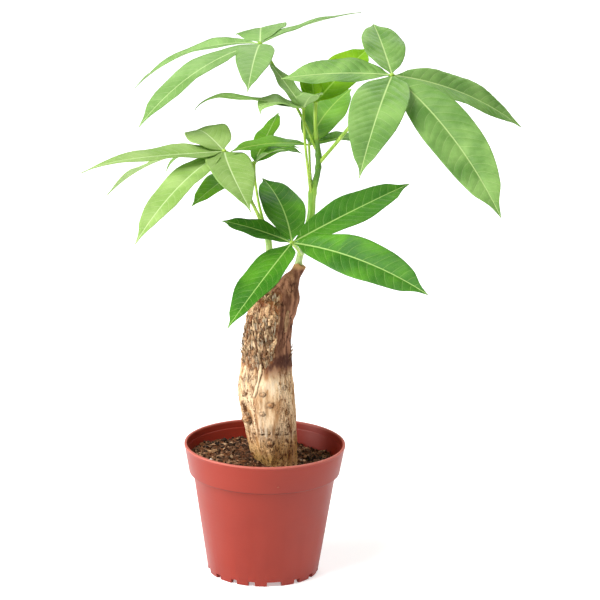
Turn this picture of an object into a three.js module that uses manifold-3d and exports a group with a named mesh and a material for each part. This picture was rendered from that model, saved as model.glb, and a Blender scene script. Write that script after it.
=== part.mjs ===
// A potted money tree: a nursery pot of soil, a stout pruned trunk, green shoots and palmate leaves.
// Millimetres, +Z up. The origin is the middle of the pot's foot, on the surface that it stands on.

import * as THREE from 'three';
import { mergeVertices } from 'three/addons/utils/BufferGeometryUtils.js';
import Module from 'manifold-3d';

// Driving dimensions of the pot

const potRimRadius = 60;
const potHeight = 99;
const potFootRadius = 41.3;
const potWall = 1.3;
const collarHeight = 22;
const collarBottomRadius = 56.1;
const bodyTopRadius = 53.1;
const lipWidth = 1.9;
const footHeight = 4;
const floorThickness = 1.6;
const potSides = 48;

// The foot ring stands on pads, with notches between them that let water out. Each quarter has the same
// notches, and the first of them is wide.

const footRingWidth = 3;
const centrePadRadius = 9;
const notchHeight = 3.5;
const notchWidth = 5;
const wideNotchWidth = 11;
const firstNotchTurn = 282.5;
const notchTurns = [0, 25.5, 47, 66.5];
const drainHoleCount = 8;
const drainHoleRadius = 3.2;
const drainHoleCircle = 29;

// Soil

const soilLevel = 85.6;
const soilMound = 3;
const soilSlope = 0.045;
const soilHeap = 1.4;
const soilSides = 40;
const soilRings = 7;

// Pieces that touch keep this gap

const gap = 0.3;

// Small helpers for vectors and angles

const radians = THREE.MathUtils.degToRad;
const vector = (x, y, z) => new THREE.Vector3(x, y, z);
const toVectors = (points) => points.map(([x, y, z]) => vector(x, y, z));

// Joins and cuts. A geometry goes in with only its positions, and comes back the same way.

const wasm = await Module();
wasm.setup();

function toSolid(geometry) {
  const bare = new THREE.BufferGeometry();
  bare.setAttribute('position', geometry.getAttribute('position').clone());
  if (geometry.index) bare.setIndex(geometry.index.clone());
  const merged = mergeVertices(bare, 1e-4);
  return new wasm.Manifold(new wasm.Mesh({
    numProp: 3,
    vertProperties: merged.attributes.position.array,
    triVerts: new Uint32Array(merged.index.array),
  }));
}

function toGeometry(solid) {
  const mesh = solid.getMesh();
  const geometry = new THREE.BufferGeometry();
  geometry.setAttribute('position', new THREE.BufferAttribute(new Float32Array(mesh.vertProperties), 3));
  geometry.setIndex(new THREE.BufferAttribute(new Uint32Array(mesh.triVerts), 1));
  geometry.computeVertexNormals();
  return geometry;
}

const joinAll = (solids) => solids.reduce((whole, piece) => whole.add(piece));

// A stem is a cylinder bent along a smooth curve, with its radius worked out from a list along the way.
// Each station is [x, y, z, radius]. The surface can be raised by a formula of turn and distance.

function bentCylinder(stations, sides, steps, relief = () => 0, grow = 0) {
  const curve = new THREE.CatmullRomCurve3(toVectors(stations));
  const radii = stations.map((station) => station[3] + grow);
  const geometry = new THREE.CylinderGeometry(1, 1, 1, sides, steps);
  const position = geometry.getAttribute('position');
  const point = vector(0, 0, 0);
  const frames = curveFrames(curve, steps);
  for (let i = 0; i < position.count; i += 1) {
    point.fromBufferAttribute(position, i);
    const t = point.y + 0.5;
    const step = Math.round(t * steps);
    const turn = Math.atan2(point.z, point.x);
    const reach = Math.hypot(point.x, point.z);
    const radius = radiusAt(radii, t) + (reach > 0.5 ? relief(turn, t) : 0);
    const frame = frames[step];
    const end = step === 0 ? -grow : step === steps ? grow : 0;
    point.copy(frame.centre)
      .addScaledVector(frame.across, reach * radius * Math.cos(turn))
      .addScaledVector(frame.over, reach * radius * Math.sin(turn))
      .addScaledVector(frame.along, end);
    position.setXYZ(i, point.x, point.y, point.z);
  }
  return geometry;
}

function radiusAt(radii, t) {
  const place = t * (radii.length - 1);
  const low = Math.min(Math.floor(place), radii.length - 2);
  const part = THREE.MathUtils.smoothstep(place - low, 0, 1);
  return THREE.MathUtils.lerp(radii[low], radii[low + 1], 0.5 * (part + place - low));
}

// The frames of a curve keep one side towards +X, so that a formula of turn stays in place on the surface

function curveFrames(curve, steps) {
  const frames = [];
  for (let i = 0; i <= steps; i += 1) {
    const along = curve.getTangent(i / steps);
    const over = vector(0, 0, 0).crossVectors(vector(1, 0, 0), along);
    if (over.length() < 0.3) over.crossVectors(vector(0, -1, 0), along);
    over.normalize();
    const across = vector(0, 0, 0).crossVectors(along, over).normalize();
    frames.push({ centre: curve.getPoint(i / steps), along, over, across });
  }
  return frames;
}

// Pot: one turned profile, then the notches and drainage holes are cut

function makePot() {
  const collarBottom = potHeight - collarHeight;
  const rimTop = potHeight;
  const bodyTop = collarBottom - 0.5;
  const floorTop = footHeight + floorThickness;
  const footInside = potFootRadius - footRingWidth;
  const bodySlope = (bodyTopRadius - potFootRadius) / bodyTop;
  const insideAt = (z) => potFootRadius + bodySlope * z - potWall;
  const outline = [
    [0, 0],
    [centrePadRadius, 0],
    [centrePadRadius + 1, footHeight],
    [footInside - 1, footHeight],
    [footInside, 0],
    [potFootRadius, 0],
    [bodyTopRadius, bodyTop],
    [collarBottomRadius, collarBottom],
    [potRimRadius - 0.4, rimTop - 2.4],
    [potRimRadius, rimTop - 1.6],
    [potRimRadius, rimTop - 0.6],
    [potRimRadius - 0.6, rimTop],
    [potRimRadius - lipWidth + 0.4, rimTop],
    [potRimRadius - lipWidth, rimTop - 0.6],
    [collarBottomRadius - potWall, collarBottom + 1],
    [bodyTopRadius - potWall, bodyTop - 1],
    [insideAt(floorTop), floorTop],
    [0, floorTop],
  ];
  let pot = toSolid(new THREE.LatheGeometry(outline.map(([r, z]) => new THREE.Vector2(r, z)), potSides)
    .rotateX(Math.PI / 2));
  for (const quarter of [0, 90, 180, 270]) {
    for (const turn of notchTurns) {
      const across = turn === 0 ? wideNotchWidth : notchWidth;
      const notch = new THREE.BoxGeometry(footRingWidth + 6, across, 2 * notchHeight)
        .translate(potFootRadius - footRingWidth / 2, 0, 0)
        .rotateZ(radians(firstNotchTurn + quarter + turn));
      pot = pot.subtract(toSolid(notch));
    }
  }
  for (let i = 0; i < drainHoleCount; i += 1) {
    const hole = new THREE.CylinderGeometry(drainHoleRadius, drainHoleRadius, 3 * floorThickness, 12)
      .rotateX(Math.PI / 2)
      .translate(drainHoleCircle, 0, footHeight + floorThickness / 2)
      .rotateZ((2 * Math.PI * i) / drainHoleCount);
    pot = pot.subtract(toSolid(hole));
  }
  return pot;
}

// Trunk stations: [x, y, z, radius], from the buried foot to the callused top

const trunkStations = [
  [11, 0, 36, 9],
  [11, 0, 60, 13],
  [9.7, 0, 84, 14.8],
  [6.2, 0, 101, 18],
  [3.2, 0, 120, 19.8],
  [0.4, 0, 140, 20.6],
  [0, 0, 160, 18.8],
  [0.4, 0, 178, 17],
  [2.6, 0, 196, 17],
  [4.6, 0, 209, 16],
  [5.6, 0, 214, 10],
];
const trunkSides = 22;
const trunkSteps = 27;

// The living neck grows out of the right half of the trunk's top

const neckStations = [
  [8.5, -0.5, 190, 9],
  [10.5, -0.5, 202, 11.5],
  [13.2, -0.5, 213, 11.3],
  [16.8, -0.5, 223, 7],
  [20.8, -0.3, 229.5, 4.4],
  [24.8, 0, 236.3, 4.4],
];

// Knobs where old branches were cut: turn in degrees from +X, height, how far they stand out, and size

const knobs = [
  { turn: 214, height: 121, out: 2.6, size: 6 },
  { turn: 278, height: 134, out: 1.0, size: 4 },
  { turn: 265, height: 104, out: 1.2, size: 4 },
  { turn: 60, height: 132, out: 2.0, size: 5 },
  { turn: 120, height: 105, out: 1.8, size: 5 },
];

const trunkReach = 19;

function barkRelief(turn, height) {
  const ridges = 0.45 * Math.sin(5 * turn + 0.05 * height) + 0.35 * Math.sin(9 * turn - 0.11 * height);
  const cork = 0.5 * Math.max(0, -Math.cos(turn)) * THREE.MathUtils.smoothstep(height, 150, 170);
  let bump = 0;
  for (const knob of knobs) {
    const apart = turn - radians(knob.turn);
    const sideways = trunkReach * Math.atan2(Math.sin(apart), Math.cos(apart));
    const away = Math.hypot(sideways, height - knob.height) / knob.size;
    bump += knob.out * Math.exp(-away * away);
  }
  return ridges + cork + bump;
}

function makeTrunk(grow = 0) {
  const bottom = trunkStations[0][2];
  const top = trunkStations[trunkStations.length - 1][2];
  const relief = (turn, t) => barkRelief(-turn, bottom + t * (top - bottom));
  const body = toSolid(bentCylinder(trunkStations, trunkSides, trunkSteps, relief, grow));
  const neck = toSolid(bentCylinder(neckStations, 12, 10, () => 0, grow));
  return body.add(neck);
}

// Shoots: green stems that stand a little way into the wood

const shootRightStations = [
  [22.6, 0, 230, 2.3],
  [23.2, 0, 240, 2.5],
  [27.2, 0, 256, 2.8],
  [31.2, 0, 273, 2.9],
  [32, 0, 290, 2.9],
  [35.6, 0, 306, 2.1],
  [35.8, 0, 318, 2.1],
  [34.2, 0, 330, 2.0],
];
const shootLeftStations = [
  [2.4, 3, 206, 2.6],
  [1.4, 2, 228, 2.7],
  [0.9, 1, 250, 2.5],
  [-1.4, 0.4, 261, 2.1],
  [-4.2, 0, 268.5, 1.8],
];

const makeShootRight = (grow = 0) => toSolid(bentCylinder(shootRightStations, 8, 18, () => 0, grow));
const makeShootLeft = (grow = 0) => toSolid(bentCylinder(shootLeftStations, 8, 12, () => 0, grow));

// Soil: a turned plug that widens in the collar, with a crumbly top that is heaped on the left

function soilHeight(x, y) {
  const out = Math.hypot(x, y) / potRimRadius;
  const crumbs = 1.1 * Math.sin(0.31 * x + 0.9) * Math.cos(0.27 * y) + 0.7 * Math.sin(0.53 * y - 0.41 * x);
  const heaped = soilHeap * Math.cos(0.05 * (x + 48)) - soilSlope * x;
  return soilLevel + soilMound * (0.5 - out) + heaped + crumbs;
}

function makeSoil() {
  const floorTop = footHeight + floorThickness + gap;
  const collarBottom = potHeight - collarHeight;
  const slope = (bodyTopRadius - potFootRadius) / (collarBottom - 0.5);
  const floorRadius = potFootRadius + slope * floorTop - potWall - gap - 0.35;
  const collarRadius = collarBottomRadius - potWall;
  const topRadius = collarRadius + 0.1;
  const outline = [
    [0, floorTop],
    [floorRadius, floorTop],
    [bodyTopRadius - potWall - gap, collarBottom - 1.2],
    [collarRadius - 0.5, collarBottom + 1.3],
  ];
  for (let ring = soilRings; ring >= 0; ring -= 1) outline.push([(topRadius * ring) / soilRings, soilLevel]);
  const plug = new THREE.LatheGeometry(outline.map(([r, z]) => new THREE.Vector2(r, z)), soilSides)
    .rotateX(Math.PI / 2);
  const position = plug.getAttribute('position');
  for (let i = 0; i < position.count; i += 1) {
    if (position.getZ(i) < soilLevel - 0.1) continue;
    position.setZ(i, soilHeight(position.getX(i), position.getY(i)));
  }
  return toSolid(plug).subtract(makeTrunk(gap));
}

// Leaflets. A blade springs from the hub in the direction heading (0 is +X, 90 is +Y), starts at the angle
// rise above level, and bends down by droop along its length. A higher bend gathers that droop towards the
// tip. roll turns the blade about its midrib, and turn bends it sideways. fold lifts the margins above the
// midrib.

const bladeSpans = 10;
const bladeThickness = 0.7;
const ribDepth = 0.9;
const baseHalfWidth = 0.9;
const waveCount = 2.5;

// The outline of a blade: a wedge at the hub, widest at the given part of its length, drawn out into a tip

function bladeOutline(t, widest) {
  const fullness = 1.8;
  const oval = (t / widest) ** (fullness * widest) * ((1 - t) / (1 - widest)) ** (fullness * (1 - widest));
  const stalked = 0.35 + 0.65 * THREE.MathUtils.smoothstep(t, 0, 0.13);
  const drawnOut = 1 - 0.45 * THREE.MathUtils.smoothstep(t, 0.84, 0.96);
  return oval * stalked * drawnOut;
}

function makeBlade(hub, leaflet) {
  const { heading, rise, length, width, droop = 30, roll = 0, turn = 0 } = leaflet;
  const { widest = 0.5, bend = 1, fold = 0.16, wave = 0.9, phase = 0 } = leaflet;
  const centre = hub.clone();
  const columns = [-1, 0, 1];
  const top = [];
  const bottom = [];
  let before = 0;
  for (let i = 0; i <= bladeSpans; i += 1) {
    const t = 0.5 - 0.5 * Math.cos((Math.PI * i) / bladeSpans);
    const middle = (t + before) / 2;
    const stepped = direction(heading + turn * middle, rise - droop * middle ** bend);
    centre.addScaledVector(stepped, length * (t - before));
    before = t;
    const azimuth = radians(heading + turn * t);
    const along = direction(heading + turn * t, rise - droop * t ** bend);
    const level = vector(Math.sin(azimuth), -Math.cos(azimuth), 0);
    const upright = vector(0, 0, 0).crossVectors(level, along);
    const side = level.clone().multiplyScalar(Math.cos(radians(roll)));
    side.addScaledVector(upright, Math.sin(radians(roll)));
    const normal = vector(0, 0, 0).crossVectors(side, along);
    const oval = bladeOutline(t, widest);
    const half = Math.max(baseHalfWidth * (1 - 0.6 * t), (width / 2) * oval);
    for (const v of columns) {
      const ripple = wave * Math.abs(v) * Math.sin(2 * Math.PI * waveCount * t + phase + v) * oval;
      const lift = fold * Math.abs(v) * half + ripple;
      const rib = v === 0 ? ribDepth * (1 - 0.8 * t) : 0;
      const place = centre.clone().addScaledVector(side, v * half).addScaledVector(normal, lift);
      top.push(place.clone().addScaledVector(normal, bladeThickness / 2));
      bottom.push(place.clone().addScaledVector(normal, -bladeThickness / 2 - rib));
    }
  }
  return closedSheet(top, bottom, columns.length, bladeSpans + 1);
}

function direction(heading, rise) {
  const level = Math.cos(radians(rise));
  const upward = Math.sin(radians(rise));
  return vector(level * Math.cos(radians(heading)), level * Math.sin(radians(heading)), upward);
}

// A sheet with two faces split into triangles alike, closed round its edge

function closedSheet(top, bottom, columns, rows) {
  const at = (row, column) => row * columns + column;
  const under = top.length;
  const index = [];
  const face = (a, b, c, d) => index.push(a, b, c, a, c, d);
  for (let row = 0; row < rows - 1; row += 1) {
    for (let column = 0; column < columns - 1; column += 1) {
      const a = at(row, column);
      const b = at(row + 1, column);
      const c = at(row + 1, column + 1);
      const d = at(row, column + 1);
      index.push(a, c, b, a, d, c);
      index.push(under + a, under + b, under + c, under + a, under + c, under + d);
    }
    const last = columns - 1;
    face(at(row, 0), at(row + 1, 0), under + at(row + 1, 0), under + at(row, 0));
    face(at(row + 1, last), at(row, last), under + at(row, last), under + at(row + 1, last));
  }
  for (let column = 0; column < columns - 1; column += 1) {
    const last = rows - 1;
    face(at(0, column + 1), at(0, column), under + at(0, column), under + at(0, column + 1));
    face(at(last, column), at(last, column + 1), under + at(last, column + 1), under + at(last, column));
  }
  const geometry = new THREE.BufferGeometry().setFromPoints([...top, ...bottom]);
  geometry.setIndex(index);
  return toSolid(geometry);
}

// A palmate leaf: petiole, hub and leaflets in one body

const hubRadius = 2;

function makeLeaf(leaf) {
  const points = leaf.petiole;
  const [x, y, z] = points[points.length - 1];
  const hub = vector(x, y, z);
  const petioleSteps = 3 * points.length;
  const stations = points.map(([px, py, pz], i) => {
    const tip = i === points.length - 1 ? 1.15 : 1;
    return [px, py, pz, leaf.petioleRadius * (i === 0 ? 1.25 : tip)];
  });
  const petiole = toSolid(bentCylinder(stations, 7, petioleSteps));
  const knob = toSolid(new THREE.SphereGeometry(hubRadius * (leaf.hubScale ?? 1), 8, 5).translate(x, y, z));
  const blades = leaf.leaflets.map((leaflet, i) => makeBlade(hub, { phase: 1.3 * i, ...leaflet }));
  return joinAll([petiole, knob, ...blades]);
}

// The leaves. Petiole points are [x, y, z], from the stem's middle to the hub.

const leaves = [
  {
    name: 'leaf_upper_left',
    stem: 'shoot_right',
    colour: '#9bcf6e',
    petioleRadius: 1.0,
    petiole: [
      [34, 0, 323], [31, -0.8, 329], [27.5, 4.5, 337], [24.6, 8.6, 342], [17, 19, 354],
      [5, 35, 372], [-8.5, 50, 390.7],
    ],
    leaflets: [
      { heading: 221, rise: -4, length: 125, width: 28, droop: 39 },
      { heading: 155, rise: 0, length: 116, width: 24, droop: 45, roll: 12 },
      { heading: 264, rise: -3, length: 74, width: 28, droop: 30, widest: 0.38 },
      { heading: 90, rise: 24, length: 76, width: 39, droop: 62, roll: 12, fold: -0.04 },
      { heading: 33, rise: 19, length: 91, width: 17, droop: 17, roll: 10, widest: 0.35 },
    ],
  },
  {
    name: 'leaf_upper_right',
    stem: 'shoot_right',
    colour: '#7db956',
    petioleRadius: 1.3,
    petiole: [[35.8, 0, 312], [43, -2, 321], [52, -5, 333], [64, -11, 350], [87, -25, 382.9]],
    leaflets: [
      { heading: 103, rise: 33, length: 63, width: 31, droop: 15 },
      { heading: 166, rise: 2, length: 82, width: 31, droop: 15, roll: 24 },
      { heading: 256, rise: -20, length: 112, width: 41, droop: 18, widest: 0.37 },
      { heading: 310, rise: -20, length: 144, width: 38, droop: 30, roll: -30 },
      { heading: 22, rise: -9, length: 114, width: 29, droop: 28, roll: -36 },
    ],
  },
  {
    name: 'leaf_front',
    stem: 'shoot_right',
    colour: '#4f9a2c',
    petioleRadius: 1.3,
    petiole: [[23.9, 0, 244], [23.4, -14, 249], [21, -28, 256], [17.7, -38, 262]],
    leaflets: [
      { heading: 99, rise: 39, length: 71, width: 32, droop: 20, turn: 24 },
      { heading: 30, rise: 21, length: 104, width: 28, droop: 4, roll: -30 },
      { heading: 328, rise: 2, length: 116, width: 32, droop: 25, roll: -43 },
      { heading: 235, rise: -29, length: 90, width: 36, droop: 5, roll: -8, widest: 0.4 },
      { heading: 153, rise: 15, length: 58, width: 18, droop: 12, roll: 25 },
    ],
  },
  {
    name: 'leaf_left',
    stem: 'shoot_left',
    colour: '#9dce66',
    petioleRadius: 1.2,
    petiole: [[-4.6, -0.6, 267.5], [-9.5, -6, 279], [-20, -15, 302], [-32.2, -15, 323.4]],
    leaflets: [
      { heading: 276, rise: -9, length: 74, width: 34, droop: 30, turn: 26, widest: 0.36 },
      { heading: 235, rise: -10, length: 116, width: 27, droop: 31, widest: 0.46 },
      { heading: 207, rise: 1, length: 112, width: 26, droop: 22, bend: 4, roll: 9, widest: 0.3 },
      { heading: 156, rise: -2, length: 108, width: 26, droop: 45 },
      {
        heading: 142, rise: 34, length: 44, width: 34, droop: 72, bend: 1.8, turn: -30, roll: 10,
        widest: 0.42, fold: 0.1,
      },
    ],
  },
  {
    name: 'leaf_left_back',
    stem: 'shoot_left',
    colour: '#5fa834',
    petioleRadius: 0.9,
    petiole: [[-3.6, 1, 267.5], [-7.5, 7, 282], [-10.4, 16, 297], [-11.2, 26, 306]],
    leaflets: [
      { heading: 74, rise: 26, length: 66, width: 20, droop: 5, roll: 25 },
      { heading: 55, rise: 20, length: 58, width: 15, droop: 35, roll: -10 },
      { heading: 327, rise: 47, length: 46, width: 12, droop: 60 },
      { heading: 235, rise: -5, length: 78, width: 20, droop: 18, roll: 10 },
      { heading: 152, rise: 7, length: 82, width: 20, droop: 75, bend: 3 },
    ],
  },
  {
    name: 'leaf_middle',
    stem: 'shoot_right',
    colour: '#8cc653',
    petioleRadius: 0.9,
    petiole: [[31, -1.6, 289], [28.6, -4.6, 307], [26.2, -4.6, 326], [24.9, -1.5, 340], [24.3, 4, 352.1]],
    leaflets: [
      { heading: 202, rise: 16, length: 39, width: 28, droop: 125, bend: 4.5, widest: 0.45, roll: 5 },
      { heading: 285, rise: 44, length: 42, width: 18, droop: 40 },
      { heading: 184, rise: 10, length: 83, width: 17, droop: 72, bend: 5, fold: 0.1 },
      { heading: 131, rise: 38, length: 50, width: 15, droop: 5, widest: 0.36 },
    ],
  },
  {
    name: 'leaf_back',
    stem: 'shoot_right',
    colour: '#67ad3c',
    petioleRadius: 0.8,
    hubScale: 0.8,
    petiole: [[31.6, 0.2, 290], [30, 1.8, 307], [28.9, 3.5, 325.1]],
    leaflets: [
      { heading: 208, rise: 13, length: 64, width: 16, droop: 25, roll: 16 },
      { heading: 77, rise: 29, length: 73, width: 30, droop: 8, roll: -10, turn: -30 },
      { heading: 37, rise: 8, length: 70, width: 17, droop: 20, roll: -8 },
    ],
  },
  {
    name: 'leaf_young',
    stem: 'shoot_right',
    colour: '#86c21f',
    petioleRadius: 1.3,
    petiole: [[34.2, 0, 328], [33.2, 0, 343], [33, 2, 356.5]],
    leaflets: [
      { heading: 46, rise: 37, length: 65, width: 28, droop: 12, roll: -30 },
      { heading: 180, rise: 78, length: 29, width: 14, droop: -6, roll: 90, fold: 0.3 },
      { heading: 180, rise: 42, length: 27, width: 6, droop: -52, roll: 90, fold: 0.3 },
    ],
  },
];

// Materials and the whole plant

function addMesh(group, name, solid, colour, roughness) {
  const material = new THREE.MeshStandardMaterial({ color: colour, roughness, metalness: 0 });
  const mesh = new THREE.Mesh(toGeometry(solid), material);
  mesh.name = name;
  group.add(mesh);
}

const plant = new THREE.Group();
const shoots = { shoot_right: makeShootRight, shoot_left: makeShootLeft };
const shootHoles = joinAll([makeShootRight(gap), makeShootLeft(gap)]);

addMesh(plant, 'pot', makePot(), '#bf5a49', 0.45);
addMesh(plant, 'soil', makeSoil(), '#3b2a20', 0.95);
addMesh(plant, 'trunk', makeTrunk().subtract(shootHoles), '#a98a64', 0.9);
addMesh(plant, 'shoot_right', makeShootRight(), '#7fae42', 0.5);
addMesh(plant, 'shoot_left', makeShootLeft(), '#8fb653', 0.5);
for (const leaf of leaves) {
  addMesh(plant, leaf.name, makeLeaf(leaf).subtract(shoots[leaf.stem](gap)), leaf.colour, 0.45);
}

export default plant;
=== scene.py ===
# %% [markdown]
# # A potted money tree
# This notebook dresses a small pachira in a nursery pot. The frame comes first: it holds the plant's solids
# at their real size, and every piece made here is laid over the solid that it stands for. All shapes are
# worked out in millimetres, because that is how a pot or a leaf is measured, and are scaled to metres when
# they are done.

# %% Load the frame
import bpy
import bmesh
import math
import random
from mathutils import Matrix, Vector, noise
from typing import NamedTuple


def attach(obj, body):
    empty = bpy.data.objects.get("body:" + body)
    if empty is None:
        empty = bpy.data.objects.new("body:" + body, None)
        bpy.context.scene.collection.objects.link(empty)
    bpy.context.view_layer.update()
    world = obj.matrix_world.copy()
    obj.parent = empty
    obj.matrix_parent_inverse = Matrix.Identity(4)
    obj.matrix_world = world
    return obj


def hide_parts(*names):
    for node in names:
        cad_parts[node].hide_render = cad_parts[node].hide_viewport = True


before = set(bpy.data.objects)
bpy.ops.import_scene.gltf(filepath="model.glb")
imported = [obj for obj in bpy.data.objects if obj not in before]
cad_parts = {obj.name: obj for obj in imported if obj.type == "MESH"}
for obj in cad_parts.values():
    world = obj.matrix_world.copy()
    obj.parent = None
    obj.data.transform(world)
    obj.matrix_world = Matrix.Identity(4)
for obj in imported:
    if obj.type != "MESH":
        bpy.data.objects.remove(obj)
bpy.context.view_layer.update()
random.seed(12)

MM = 0.001
print("solids:", sorted(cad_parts))


# %% [markdown]
# ## Small helpers for meshes
# A piece starts as a bmesh in millimetres. `finish` scales it, gives it its materials, and lets it ride on
# the plant's one body. It also says which solid the piece replaces.

# %% Helpers for pieces
def make_object(shape, name, scale=MM):
    bmesh.ops.scale(shape, vec=(scale, scale, scale), verts=shape.verts)
    mesh = bpy.data.meshes.new(name)
    shape.to_mesh(mesh)
    shape.free()
    made = bpy.data.objects.new(name, mesh)
    bpy.context.scene.collection.objects.link(made)
    return made


def finish(shape, name, materials, replaces=(), smooth=True):
    piece = make_object(shape, name)
    for polygon in piece.data.polygons:
        polygon.use_smooth = smooth
    for material in materials:
        piece.data.materials.append(material)
    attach(piece, "root")
    if replaces:
        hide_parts(*replaces)
    return piece


def apply_modifiers(piece):
    graph = bpy.context.evaluated_depsgraph_get()
    mesh = bpy.data.meshes.new_from_object(piece.evaluated_get(graph))
    piece.modifiers.clear()
    piece.data = mesh
    mesh.name = piece.name
    print(piece.name, "faces", len(mesh.polygons))


def thicken(piece, thickness, offset, material_offset=0):
    thick = piece.modifiers.new("thickness", "SOLIDIFY")
    thick.thickness = thickness * MM
    thick.offset = offset
    thick.material_offset = material_offset
    apply_modifiers(piece)


def store_tints(piece, runs):
    tints = piece.data.color_attributes.new("tint", "FLOAT_COLOR", "POINT")
    values = []
    for count, tint in runs:
        values.extend((*tint, 1) * count)
    tints.data.foreach_set("color", values)


def smoothstep(low, high, value):
    part = min(max((value - low) / (high - low), 0), 1)
    return part * part * (3 - 2 * part)


def bell(value):
    return math.exp(-value * value)


def outward(turn):
    return Vector((math.cos(turn), math.sin(turn), 0))


def drift(x, y, z):
    return noise.noise(Vector((x, y, z)))


# %% [markdown]
# ## Stems as bent tubes
# A stem follows a smooth curve through a few stations, each with a radius. The curve is a centripetal
# spline, because that passes through every station without overshooting. The tube itself is a grid that is
# rolled up: one side of the grid becomes the turn round the stem, and the other runs along it.

# %% Curve and tube
def curve_point(points, t):
    spans = len(points) - 1
    low = min(int(t * spans), spans - 1)
    part = t * spans - low
    start, end = points[low], points[low + 1]
    before = points[low - 1] if low > 0 else 2 * start - end
    after = points[low + 2] if low + 2 <= spans else 2 * end - start
    step_before = math.sqrt((start - before).length) or 1
    step = math.sqrt((end - start).length) or 1
    step_after = math.sqrt((after - end).length) or 1
    leave = (start - before) / step_before - (end - before) / (step_before + step) + (end - start) / step
    arrive = (end - start) / step - (after - start) / (step + step_after) + (after - end) / step_after
    leave, arrive = leave * step, arrive * step
    square = part * part
    cube = square * part
    return (start + leave * part + (3 * (end - start) - 2 * leave - arrive) * square
            + (2 * (start - end) + leave + arrive) * cube)


def curve_frame(points, t):
    small = 1e-4
    ahead = curve_point(points, min(t + small, 1))
    behind = curve_point(points, max(t - small, 0))
    along = (ahead - behind).normalized()
    over = Vector((1, 0, 0)).cross(along)
    if over.length < 0.3:
        over = Vector((0, -1, 0)).cross(along)
    over.normalize()
    return curve_point(points, t), along.cross(over).normalized(), over


def radius_at(radii, t):
    reach = t * (len(radii) - 1)
    low = min(int(reach), len(radii) - 2)
    part = reach - low
    eased = 0.5 * (part + part * part * (3 - 2 * part))
    return radii[low] + (radii[low + 1] - radii[low]) * eased


def tube(stations, sides, steps, swell=None):
    points = [Vector(station[:3]) for station in stations]
    radii = [station[3] for station in stations]
    frames = [curve_frame(points, step / steps) for step in range(steps + 1)]
    mesh = bmesh.new()
    layer = mesh.loops.layers.uv.new("UVMap")
    bmesh.ops.create_grid(mesh, x_segments=sides, y_segments=steps, size=0.5)
    for vert in mesh.verts:
        turn, t = vert.co.x + 0.5, vert.co.y + 0.5
        for loop in vert.link_loops:
            loop[layer].uv = (turn, t)
        centre, across, over = frames[round(t * steps)]
        angle = 2 * math.pi * turn
        radius = radius_at(radii, t)
        if swell:
            radius += swell(turn, t)
        vert.co = centre + across * (radius * math.cos(angle)) + over * (radius * math.sin(angle))
    bmesh.ops.remove_doubles(mesh, verts=mesh.verts, dist=1e-4)
    rims = [edge for edge in mesh.edges if edge.is_boundary]
    bmesh.ops.holes_fill(mesh, edges=rims, sides=0)
    bmesh.ops.recalc_face_normals(mesh, faces=mesh.faces)
    return mesh


def join_into(target, source):
    mesh = bpy.data.meshes.new("part")
    source.to_mesh(mesh)
    source.free()
    target.from_mesh(mesh)
    bpy.data.meshes.remove(mesh)


# %% [markdown]
# ## Helpers for materials
# Every material is built from nodes. These short functions add a node, a sum or a colour blend, and return
# the socket that carries its result.

# %% Helpers for node trees
def place(tree, kind, inputs=None, **settings):
    node = tree.nodes.new("ShaderNode" + kind)
    for key, value in settings.items():
        setattr(node, key, value)
    for key, value in (inputs or {}).items():
        if isinstance(value, bpy.types.NodeSocket):
            tree.links.new(value, node.inputs[key])
        else:
            node.inputs[key].default_value = value
    return node


def maths(tree, operation, first, second=0.0, clamp=False):
    node = place(tree, "Math", {0: first, 1: second}, operation=operation, use_clamp=clamp)
    return node.outputs[0]


def times(tree, first, second):
    return maths(tree, "MULTIPLY", first, second)


def ramp(tree, value, low, high, out_low=0.0, out_high=1.0):
    inputs = {"Value": value, "From Min": low, "From Max": high, "To Min": out_low, "To Max": out_high}
    node = place(tree, "MapRange", inputs, clamp=True, interpolation_type="SMOOTHSTEP")
    return node.outputs[0]


# A Mix node has inputs for numbers and vectors before those for its two colours

FIRST_COLOUR, SECOND_COLOUR = 6, 7


def blend(tree, amount, first, second, mode="MIX"):
    inputs = {"Factor": amount, FIRST_COLOUR: first, SECOND_COLOUR: second}
    return place(tree, "Mix", inputs, data_type="RGBA", blend_type=mode).outputs[2]


def layered(tree, colour, layers):
    for amount, tint in layers:
        colour = blend(tree, amount, colour, tint)
    return colour


def rgb(red, green, blue):
    return tuple((part / 255) ** 2.2 for part in (red, green, blue)) + (1.0,)


def new_material(name, roughness, specular=0.5):
    material = bpy.data.materials.new(name)
    material.use_nodes = True
    tree = material.node_tree
    shader = tree.nodes["Principled BSDF"]
    shader.inputs["Roughness"].default_value = roughness
    shader.inputs["Specular IOR Level"].default_value = specular
    return material, tree, shader


def colour_with(tree, shader, colour):
    tree.links.new(colour, shader.inputs["Base Color"])


def light_enters(shader, weight, radius):
    shader.inputs["Subsurface Weight"].default_value = weight
    shader.inputs["Subsurface Radius"].default_value = radius


def bump_into(tree, shader, height, strength, distance=0.001):
    node = place(tree, "Bump", {"Height": height, "Strength": strength, "Distance": distance})
    tree.links.new(node.outputs[0], shader.inputs["Normal"])


def object_coords(tree):
    return place(tree, "TexCoord").outputs["Object"]


def axes(tree, vector):
    return place(tree, "SeparateXYZ", {"Vector": vector}).outputs


def object_noise(tree, scale, detail=3.0, stretch=(1, 1, 1), roughness=0.55):
    mapping = place(tree, "Mapping", {"Vector": object_coords(tree), "Scale": stretch})
    inputs = {"Vector": mapping.outputs[0], "Scale": scale, "Detail": detail, "Roughness": roughness}
    return place(tree, "TexNoise", inputs).outputs[0]


# %% [markdown]
# ## One shared effect: mottling
# Leaves, bark, soil and plastic are all a little uneven in colour. A node group holds that effect once:
# soft clouds with finer grain over them, as one value that each material uses in its own way.

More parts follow.
